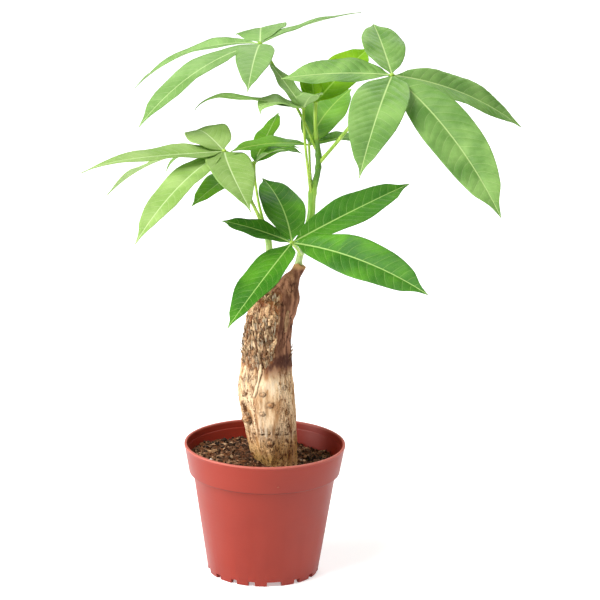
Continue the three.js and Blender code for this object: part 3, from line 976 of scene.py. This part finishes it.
# %% Leaf material
def leaf_material(name, deep, light, vein_colour, roughness, see_through, under=False):
    net_share, side_share, relief, specular = (0.22, 0.4, -0.5, 0.15) if under else (0.14, 0.26, 0.45, 0.24)
    material, tree, shader = new_material(name, roughness, specular)
    veins = place(tree, "Group", node_tree=vein_group).outputs
    clouds = mottle(tree, 45, 0.35)
    colour = layered(tree, blend(tree, clouds, deep, light), [
        (ramp(tree, object_noise(tree, 18, detail=1.0), 0.42, 0.6, 0, 0.3), deep),
        (times(tree, veins["Net"], net_share), vein_colour),
        (times(tree, veins["Side veins"], side_share), vein_colour),
        (times(tree, veins["Midrib"], 0.9), vein_colour),
    ])
    colour_with(tree, shader, colour)
    uneven = maths(tree, "ADD", times(tree, clouds, 0.12), roughness - 0.05)
    tree.links.new(uneven, shader.inputs["Roughness"])
    bump_into(tree, shader, veins["Height"], relief, 0.0006)
    yellowed = blend(tree, 1.0, colour, (0.85, 1.0, 0.35, 1), "MULTIPLY")
    through = place(tree, "BsdfTranslucent", {"Color": yellowed})
    shaders = {"Fac": see_through, 1: shader.outputs[0], 2: through.outputs[0]}
    mixed = place(tree, "MixShader", shaders)
    tree.links.new(mixed.outputs[0], tree.nodes["Material Output"].inputs["Surface"])
    return material


# %% [markdown]
# ## The leaves
# This table is the plant's leaves as they stand: where each stalk runs, and how its leaflets spread.
# Headings are degrees from +X, and all lengths are millimetres. The looks are the deep and the light green,
# the colour of the veins, and the roughness.

# %% Leaf table
class Leaflet(NamedTuple):
    heading: float
    rise: float
    length: float
    width: float
    droop: float
    roll: float = 0
    turn: float = 0
    bend: float = 1
    widest: float = 0.5
    fold: float = 0.16


class Leaf(NamedTuple):
    name: str
    slot: str
    stalk_radius: float
    looks: tuple
    petiole: list
    leaflets: list
    quilting: float = 0.4
    see_through: float = 0.26
    hub_scale: float = 1


leaves = [
    Leaf(
        "leaf_upper_left", "leaf_pale", 1.0,
        looks=((116, 158, 80), (146, 184, 110), (202, 224, 160), 0.45),
        petiole=[(34, 0, 323), (31, -0.8, 329), (27.5, 4.5, 337), (24.6, 8.6, 342), (17, 19, 354),
                 (5, 35, 372), (-8.5, 50, 390.7)],
        leaflets=[
            Leaflet(221, -4, 125, 28, 39),
            Leaflet(155, 0, 116, 24, 45, roll=12),
            Leaflet(264, -3, 74, 28, 30, widest=0.38),
            Leaflet(90, 24, 76, 39, 62, roll=12, fold=-0.04),
            Leaflet(33, 19, 91, 17, 17, roll=10, widest=0.35),
        ],
    ),
    Leaf(
        "leaf_upper_right", "leaf_green", 1.3, quilting=0.85,
        looks=((94, 140, 60), (142, 182, 98), (196, 220, 146), 0.4),
        petiole=[(35.8, 0, 312), (43, -2, 321), (52, -5, 333), (64, -11, 350), (87, -25, 382.9)],
        leaflets=[
            Leaflet(103, 33, 63, 31, 15),
            Leaflet(166, 2, 82, 31, 15, roll=24),
            Leaflet(256, -20, 112, 41, 18, widest=0.37),
            Leaflet(310, -20, 144, 38, 30, roll=-30),
            Leaflet(22, -9, 114, 29, 28, roll=-36),
        ],
    ),
    Leaf(
        "leaf_front", "leaf_dark", 1.3, quilting=0.6, see_through=0.15,
        looks=((44, 104, 8), (82, 145, 24), (172, 206, 116), 0.46),
        petiole=[(23.9, 0, 244), (23.4, -14, 249), (21, -28, 256), (17.7, -38, 262)],
        leaflets=[
            Leaflet(99, 39, 71, 32, 20, turn=24),
            Leaflet(30, 21, 104, 28, 4, roll=-30),
            Leaflet(328, 2, 116, 32, 25, roll=-43),
            Leaflet(235, -29, 90, 36, 5, roll=-8, widest=0.4),
            Leaflet(153, 15, 58, 18, 12, roll=25),
        ],
    ),
    Leaf(
        "leaf_left", "leaf_pale", 1.2,
        looks=((136, 173, 84), (173, 201, 121), (216, 232, 178), 0.42),
        petiole=[(-4.6, -0.6, 267.5), (-9.5, -6, 279), (-20, -15, 302), (-32.2, -15, 323.4)],
        leaflets=[
            Leaflet(276, -9, 74, 34, 30, turn=26, widest=0.36),
            Leaflet(235, -10, 116, 27, 31, widest=0.46),
            Leaflet(207, 1, 112, 26, 22, bend=4, roll=9, widest=0.3),
            Leaflet(156, -2, 108, 26, 45),
            Leaflet(142, 34, 44, 34, 72, bend=1.8, turn=-30, roll=10,
                    widest=0.42, fold=0.1),
        ],
    ),
    Leaf(
        "leaf_left_back", "leaf_green", 0.9,
        looks=((80, 142, 20), (122, 178, 38), (186, 214, 130), 0.42),
        petiole=[(-3.6, 1, 267.5), (-7.5, 7, 282), (-10.4, 16, 297), (-11.2, 26, 306)],
        leaflets=[
            Leaflet(74, 26, 66, 20, 5, roll=25),
            Leaflet(55, 20, 58, 15, 35, roll=-10),
            Leaflet(327, 47, 46, 12, 60),
            Leaflet(235, -5, 78, 20, 18, roll=10),
            Leaflet(152, 7, 82, 20, 75, bend=3),
        ],
    ),
    Leaf(
        "leaf_middle", "leaf_pale", 0.9,
        looks=((120, 160, 76), (154, 190, 108), (206, 226, 160), 0.42),
        petiole=[(31, -1.6, 289), (28.6, -4.6, 307), (26.2, -4.6, 326), (24.9, -1.5, 340), (24.3, 4, 352.1)],
        leaflets=[
            Leaflet(202, 16, 39, 28, 125, bend=4.5, widest=0.45, roll=5),
            Leaflet(285, 44, 42, 18, 40),
            Leaflet(184, 10, 83, 17, 72, bend=5, fold=0.1),
            Leaflet(131, 38, 50, 15, 5, widest=0.36),
        ],
    ),
    Leaf(
        "leaf_back", "leaf_green", 0.8, hub_scale=0.8,
        looks=((92, 148, 42), (130, 182, 68), (178, 206, 104), 0.42),
        petiole=[(31.6, 0.2, 290), (30, 1.8, 307), (28.9, 3.5, 325.1)],
        leaflets=[
            Leaflet(208, 13, 64, 16, 25, roll=16),
            Leaflet(77, 29, 73, 30, 8, roll=-10, turn=-30),
            Leaflet(37, 8, 70, 17, 20, roll=-8),
        ],
    ),
    Leaf(
        "leaf_young", "leaf_fresh", 1.3, see_through=0.5,
        looks=((124, 178, 20), (172, 212, 44), (196, 224, 110), 0.4),
        petiole=[(34.2, 0, 328), (33.2, 0, 343), (33, 2, 356.5)],
        leaflets=[
            Leaflet(46, 37, 65, 28, 12, roll=-30),
            Leaflet(180, 78, 29, 14, -6, roll=90, fold=0.3),
            Leaflet(180, 42, 27, 6, -52, roll=90, fold=0.3),
        ],
    ),
]
print("leaflets:", sum(len(leaf.leaflets) for leaf in leaves))


# %% [markdown]
# ## Putting a leaf together
# A leaf is its stalk, a small hub where the leaflets meet, and the blades. Each blade gets its thickness
# from a Solidify modifier, which also gives the underside the second material. The blades start as thin
# stalks of their own inside the hub, so nothing has to be joined there.

# %% Stalk material and hub
leaf_stalk, tree, shader = new_material("leaf_stalk", 0.4)
streaks = object_noise(tree, 380, detail=2.0, stretch=(1, 1, 0.15))
colour = blend(tree, ramp(tree, streaks, 0.35, 0.65), rgb(126, 164, 46), rgb(166, 194, 74))
colour_with(tree, shader, colour)
light_enters(shader, 0.1, (0.001, 0.0015, 0.0004))

under_tint = rgb(186, 214, 150)
under_share = 0.45
under_roughness = 0.6
hub_radius = 1.84


def paler(colour):
    return tuple((1 - under_share) * part + under_share * pale for part, pale in zip(colour, under_tint))


def make_blades(leaf, number):
    hub = Vector(leaf.petiole[-1])
    blades = bmesh.new()
    for index, leaflet in enumerate(leaf.leaflets):
        join_into(blades, blade(hub, leaflet, index, 10 * number + index, leaf.quilting))
    for face in blades.faces:
        face.material_index = 0
    deep, light, vein_colour = (rgb(*colour) for colour in leaf.looks[:3])
    roughness = leaf.looks[3]
    top = leaf_material(leaf.name + "_top", deep, light, vein_colour, roughness, leaf.see_through)
    under = leaf_material(leaf.name + "_under", paler(deep), paler(light), vein_colour, under_roughness,
                          leaf.see_through, under=True)
    piece = finish(blades, leaf.name + "_blades", [top, under, leaf_stalk], [leaf.name])
    thicken(piece, blade_thickness, -1, material_offset=1)


def make_stalk(leaf):
    last = len(leaf.petiole) - 1
    stations = []
    for i, point in enumerate(leaf.petiole):
        widening = 1.25 if i == 0 else 1.15 if i == last else 1
        stations.append((*point, leaf.stalk_radius * widening))
    ridge = 0.05 * leaf.stalk_radius
    stalk = tube(stations, 16, 24 * last, lambda turn, t: ridge * math.cos(4 * math.pi * turn))
    hub = bmesh.new()
    bmesh.ops.create_uvsphere(hub, u_segments=24, v_segments=14, radius=hub_radius * leaf.hub_scale)
    bmesh.ops.scale(hub, vec=(1, 1, 0.8), verts=hub.verts)
    bmesh.ops.translate(hub, vec=leaf.petiole[-1], verts=hub.verts)
    join_into(stalk, hub)
    finish(stalk, leaf.name + "_stalk", [leaf_stalk])


for number, leaf in enumerate(leaves):
    make_blades(leaf, number)
    make_stalk(leaf)


# %% [markdown]
# ## Potting soil
# The mix is peat, fine bark and crumbs. Its surface is a disc that is pushed up by the same height formula
# as the solid, with finer lumps added. Loose crumbs, bark chips and fibres lie on it, scattered with a seed
# so that they fall the same way every time.

# %% Soil height
soil_level = 85.6
soil_mound = 3
soil_slope = 0.045
soil_heap = 1.4
lump_height = 1.6


def soil_height(x, y):
    out = math.hypot(x, y) / rim_radius
    crumbs = 1.1 * math.sin(0.31 * x + 0.9) * math.cos(0.27 * y) + 0.7 * math.sin(0.53 * y - 0.41 * x)
    heaped = soil_heap * math.cos(0.05 * (x + 48)) - soil_slope * x
    return soil_level + soil_mound * (0.5 - out) + heaped + crumbs


def lumpy_height(x, y):
    rough = noise.fractal(Vector((x * 0.16, y * 0.16, 2)), 0.7, 2.1, 5)
    return soil_height(x, y) + lump_height * rough


# %% Soil body
gap = 0.3
soil_floor = floor_top + gap
soil_floor_radius = foot_radius + inside_slope * soil_floor - wall - gap - 0.35
soil_sides = [
    (body_top_radius - wall - gap, collar_bottom - 1.2),
    (collar_bottom_radius - wall - 0.5, collar_bottom + 1.3),
]
soil_top_radius = collar_bottom_radius - wall + 1.0
rings = 56


def extruded(mesh, edges):
    grown = bmesh.ops.extrude_edge_only(mesh, edges=edges)["geom"]
    verts = [item for item in grown if isinstance(item, bmesh.types.BMVert)]
    return verts, [item for item in grown if isinstance(item, bmesh.types.BMEdge)]


soil_mesh = bmesh.new()
rim = bmesh.ops.create_circle(soil_mesh, cap_ends=False, segments=120, radius=soil_floor_radius)["verts"]
bmesh.ops.translate(soil_mesh, vec=(0, 0, soil_floor), verts=rim)
edges = list(soil_mesh.edges)
bmesh.ops.holes_fill(soil_mesh, edges=edges, sides=0)
for radius, height in soil_sides:
    verts, edges = extruded(soil_mesh, edges)
    for vert in verts:
        turn = math.atan2(vert.co.y, vert.co.x)
        vert.co = Vector((radius * math.cos(turn), radius * math.sin(turn), height))
for step in range(rings, 0, -1):
    verts, edges = extruded(soil_mesh, edges)
    for vert in verts:
        turn = math.atan2(vert.co.y, vert.co.x)
        reach = soil_top_radius * step / rings
        x, y = reach * math.cos(turn), reach * math.sin(turn)
        widen = 1 + (0.16 * (lumpy_height(x, y) - collar_bottom - 4) / soil_top_radius) * (step / rings) ** 8
        vert.co = Vector((x * widen, y * widen, lumpy_height(x, y)))
bmesh.ops.holes_fill(soil_mesh, edges=edges, sides=0)
bmesh.ops.recalc_face_normals(soil_mesh, faces=soil_mesh.faces)


# %% Soil material
soil_mix, tree, shader = new_material("potting_mix", 0.95, specular=0.2)
lumps = object_noise(tree, 420, detail=6.0, roughness=0.7)
specks = object_noise(tree, 900, detail=3.0)
patches = object_noise(tree, 28, detail=2.0)
colour = layered(tree, blend(tree, ramp(tree, lumps, 0.35, 0.68), rgb(40, 24, 16), rgb(140, 90, 58)), [
    (ramp(tree, specks, 0.62, 0.74, 0, 0.7), rgb(190, 142, 98)),
    (ramp(tree, patches, 0.4, 0.65, 0, 0.5), rgb(52, 34, 24)),
])
colour_with(tree, shader, colour)
bump_into(tree, shader, lumps, 0.9, 0.002)
finish(soil_mesh, "potting_soil", [soil_mix], ["soil"])


# %% [markdown]
# ## Crumbs, chips and fibres
# Up close the soil is a litter of small things. A crumb is an icosphere with its points pushed in and out.
# A bark chip is a flat box with skewed corners. A fibre is a thin bent strip. A colour attribute gives each
# of them its own brown, so one material serves them all.

# %% Scatter the litter
litter_count = 2200
chip_count = 110
fibre_count = 150
litter_tint = []
trunk_foot_x = 9.2
clear_radius = 15.5
litter_reach = soil_top_radius - 1.5


def random_spot():
    while True:
        reach = litter_reach * math.sqrt(random.random())
        turn = random.uniform(0, 2 * math.pi)
        x, y = reach * math.cos(turn), reach * math.sin(turn)
        if math.hypot(x - trunk_foot_x, y) > clear_radius:
            return x, y


def tumbled(x, y, z, size):
    turn = Matrix.Rotation(random.uniform(0, 6.3), 4, "Z")
    tilt = Matrix.Rotation(random.uniform(-0.7, 0.7), 4, "X")
    return Matrix.Translation((x, y, z)) @ turn @ tilt @ Matrix.Diagonal((*size, 1))


def add_crumb(mesh, x, y, size, tint):
    shape = [size * random.uniform(0.45, 1.15) for _ in range(3)]
    place_at = tumbled(x, y, lumpy_height(x, y) + 0.25 * size, shape)
    made = bmesh.ops.create_icosphere(mesh, subdivisions=1, radius=1, matrix=place_at)["verts"]
    middle = place_at.translation
    for vert in made:
        vert.co = middle + (vert.co - middle) * random.uniform(0.55, 1.25)
    litter_tint.append((len(made), tint))


def add_chip(mesh, x, y, length, tint):
    shape = (length, length * random.uniform(0.35, 0.6), length * random.uniform(0.12, 0.25))
    made = bmesh.ops.create_cube(mesh, size=1, matrix=tumbled(x, y, lumpy_height(x, y) + 0.5, shape))["verts"]
    for vert in made:
        vert.co += Vector([random.uniform(-0.12, 0.12) * length for _ in range(3)])
    litter_tint.append((len(made), tint))


def add_fibre(mesh, x, y, length, tint):
    made = bmesh.ops.create_grid(mesh, x_segments=8, y_segments=1, size=0.5)["verts"]
    turn = random.uniform(0, 2 * math.pi)
    bow, hop = random.uniform(-0.3, 0.3), random.uniform(0.1, 0.35)
    for vert in made:
        s, across = vert.co.x, vert.co.y
        along = s * length
        aside = bow * length * (0.25 - s * s) * 4 + across * 0.35
        px = x + along * math.cos(turn) - aside * math.sin(turn)
        py = y + along * math.sin(turn) + aside * math.cos(turn)
        vert.co = Vector((px, py, lumpy_height(x, y) + 0.4 + hop * length * (0.25 - s * s) + across * 0.2))
    litter_tint.append((len(made), tint))


# %% Make the litter
browns = [
    (0.02, 0.012, 0.008), (0.05, 0.028, 0.016), (0.11, 0.06, 0.033), (0.2, 0.108, 0.06), (0.34, 0.19, 0.105),
    (0.46, 0.29, 0.17),
]
litter_mesh = bmesh.new()
for _ in range(litter_count):
    x, y = random_spot()
    add_crumb(litter_mesh, x, y, random.choice((0.4, 0.5, 0.7, 0.9, 1.2, 1.6)), random.choice(browns[:5]))
for _ in range(chip_count):
    x, y = random_spot()
    add_chip(litter_mesh, x, y, random.uniform(2, 4.5), random.choice(browns[3:]))
for _ in range(fibre_count):
    x, y = random_spot()
    add_fibre(litter_mesh, x, y, random.uniform(4, 10), random.choice(browns[1:5]))

# The bigger bits that catch the eye: a lump of bark on the left, pale chips and a white grain of perlite

add_crumb(litter_mesh, -38, 2, 4.6, (0.32, 0.18, 0.09))
add_chip(litter_mesh, -41, 6, 7.5, (0.36, 0.2, 0.1))
add_chip(litter_mesh, -24.5, -4, 4.5, (0.5, 0.34, 0.2))
add_chip(litter_mesh, -21, -7, 4.0, (0.42, 0.26, 0.15))
add_crumb(litter_mesh, -40, -9, 1.7, (0.85, 0.82, 0.76))
add_crumb(litter_mesh, 26, 3, 1.5, (0.5, 0.4, 0.3))


# %% Litter material
def tinted(tree, shader, uneven):
    tint = place(tree, "Attribute", attribute_name="tint").outputs["Color"]
    colour_with(tree, shader, blend(tree, 1.0, tint, uneven, "MULTIPLY"))


litter_material, tree, shader = new_material("crumbs_and_bark", 0.9, specular=0.2)
tinted(tree, shader, blend(tree, mottle(tree, 500, 0.6), (0.6, 0.6, 0.6, 1), (1.25, 1.2, 1.15, 1)))
litter = finish(litter_mesh, "soil_litter", [litter_material], smooth=False)
store_tints(litter, litter_tint)


# %% [markdown]
# ## Loose bark
# Old cork comes away in flakes that stand off the trunk and break up its outline. Each flake is a small
# curled plate, set on the bark's surface and lifted along one edge.

# %% Flakes
flake_count = 900
flake_thickness = 0.25
cork_radius = 18
cork_turns = 90, 290
cork_heights = 156, 213
flake_tints = [
    (0.42, 0.28, 0.16), (0.58, 0.42, 0.26), (0.3, 0.17, 0.09), (0.4, 0.32, 0.23), (0.17, 0.09, 0.05),
]
flake_tint = []
trunk_radii = [station[3] for station in trunk_stations]


def add_flake(mesh, turn, height, length, width, lift, curl, lean=0.0, tint=None):
    axis = axis_at(height)
    out, side = outward(turn), Vector((-math.sin(turn), math.cos(turn), 0))
    radius = radius_at(trunk_radii, (height - trunk_bottom) / trunk_length)
    made = bmesh.ops.create_grid(mesh, x_segments=2, y_segments=4, size=0.5)["verts"]
    for vert in made:
        u, s = vert.co.x, vert.co.y
        ragged = 1 + 0.4 * drift(u * 9, s * 7, height * 3 + turn * 20)
        rise = 0.1 + lift * (s + 0.5) ** 2 + curl * (u * 2) ** 2
        across = u * width * ragged * (1.15 - 1.2 * abs(s))
        vert.co = (axis + out * (radius + rise) + side * (across + lean * s * length)
                   + Vector((0, 0, height - axis.z + s * length * ragged)))
    flake_tint.append((len(made), tint or random.choice(flake_tints)))


# %% Scatter the flakes
flake_mesh = bmesh.new()
while len(flake_tint) < flake_count:
    turn = math.radians(random.uniform(*cork_turns))
    height = random.uniform(*cork_heights)
    if random.random() > bark_zones(axis_at(height) + cork_radius * outward(turn))[2]:
        continue
    lift = random.choice((0.2, 0.4, 0.7, 1.1)) * (1 if height > 168 else 1.5)
    lean = random.uniform(-0.15, 0.15)
    length, width = random.uniform(2.5, 8), random.uniform(0.6, 2.0)
    add_flake(flake_mesh, turn, height, length, width, lift, random.uniform(-0.2, 0.4), lean)

# Single flakes that the eye finds: a long pale strip, a tan plate high on the right, and tufts at the band

pale_tan = (0.72, 0.55, 0.36)
brown_tan = (0.36, 0.22, 0.12)
add_flake(flake_mesh, math.radians(243), 147, 16, 1.2, 1.0, 0.1, 0.1, pale_tan)
add_flake(flake_mesh, math.radians(316), 196, 16, 4.0, 0.9, 0.6, 0.05, brown_tan)
for extra in range(6):
    right, left = math.radians(345 + 4 * extra), math.radians(178 + 6 * extra)
    spread = 3 * (extra % 3)
    add_flake(flake_mesh, right, 166 + spread, 5.5, 0.8, 2.6, 0, 0.2, flake_tints[extra % 3])
    add_flake(flake_mesh, left, 168 + spread, 6, 1.6, 2.4, 0.3, -0.1, flake_tints[extra % 4])


# %% Loose bark material
flake_bark, tree, shader = new_material("loose_bark", 0.9, specular=0.12)
patch = ramp(tree, object_noise(tree, 260, detail=3.0), 0.35, 0.65)
tinted(tree, shader, blend(tree, patch, (0.6, 0.56, 0.52, 1), (1.15, 1.12, 1.08, 1)))
flakes = finish(flake_mesh, "bark_flakes", [flake_bark])
store_tints(flakes, flake_tint)
thicken(flakes, flake_thickness, 0)


# %% [markdown]
# ## Floor, light and camera
# The picture is a plain studio shot on white, lit softly from the upper left by a large area light. A lower
# one brightens the left side, a weak one edges the right, and one behind shines through the leaves. A dim
# white world lifts the shadows, and the floor glows more the further it is from the pot, so that it fades
# into the background. The camera looks along +Y from about two metres away, tipped down by 15 degrees, with
# a long lens.

# %% Floor
floor_half_size = 4.0
glow_near, glow_far = (0.4, 0.4), (2.6, 0.95)

floor_mesh = bmesh.new()
bmesh.ops.create_grid(floor_mesh, x_segments=1, y_segments=1, size=floor_half_size)
studio_floor = make_object(floor_mesh, "studio_floor", scale=1)
floor_white, tree, shader = new_material("floor_white", 0.9, specular=0.1)
colour_with(tree, shader, blend(tree, mottle(tree, 2, 0.05), (0.92, 0.92, 0.92, 1), (0.94, 0.94, 0.94, 1)))
shader.inputs["Emission Color"].default_value = (1, 1, 1, 1)
away = place(tree, "VectorMath", {0: object_coords(tree)}, operation="LENGTH").outputs["Value"]
glow = ramp(tree, away, glow_near[0], glow_far[0], glow_near[1], glow_far[1])
tree.links.new(glow, shader.inputs["Emission Strength"])
studio_floor.data.materials.append(floor_white)


# %% Lights
def area_light(name, place_at, target, size, power):
    data = bpy.data.lights.new(name, "AREA")
    data.shape = "DISK"
    data.size = size
    data.energy = power
    light = bpy.data.objects.new(name, data)
    light.location = place_at
    light.rotation_euler = (Vector(target) - Vector(place_at)).to_track_quat("-Z", "Y").to_euler()
    bpy.context.scene.collection.objects.link(light)


plant_middle = (0, 0, 0.2)
area_light("key", (-1.0, -0.8, 1.8), plant_middle, 1.3, 58)
area_light("side", (-1.7, -0.5, 0.4), (0, 0, 0.1), 0.9, 21)
area_light("rim", (1.4, -0.2, 1.3), (0.1, 0, 0.35), 0.9, 9)
area_light("back", (0.4, 1.4, 1.7), plant_middle, 1.4, 20)

world = bpy.data.worlds.new("studio")
world.use_nodes = True
background = world.node_tree.nodes["Background"].inputs
background["Color"].default_value = (1, 1, 1, 1)
background["Strength"].default_value = 0.15
bpy.context.scene.world = world


# %% Camera
camera_place = Vector((24.3, -2094.7, 770.5)) * MM
camera_pitch = 15
camera_roll = 1.0
focal_pixels = 2950
picture_pixels = 600

camera_data = bpy.data.cameras.new("camera")
camera_data.sensor_width = 36
camera_data.lens = focal_pixels * camera_data.sensor_width / picture_pixels
camera = bpy.data.objects.new("camera", camera_data)
tip = Matrix.Rotation(math.radians(90 - camera_pitch), 4, "X")
lean = Matrix.Rotation(math.radians(camera_roll), 4, "Z")
camera.matrix_world = Matrix.Translation(camera_place) @ tip @ lean
bpy.context.scene.collection.objects.link(camera)
bpy.context.scene.camera = camera
bpy.context.scene.view_settings.view_transform = "Standard"
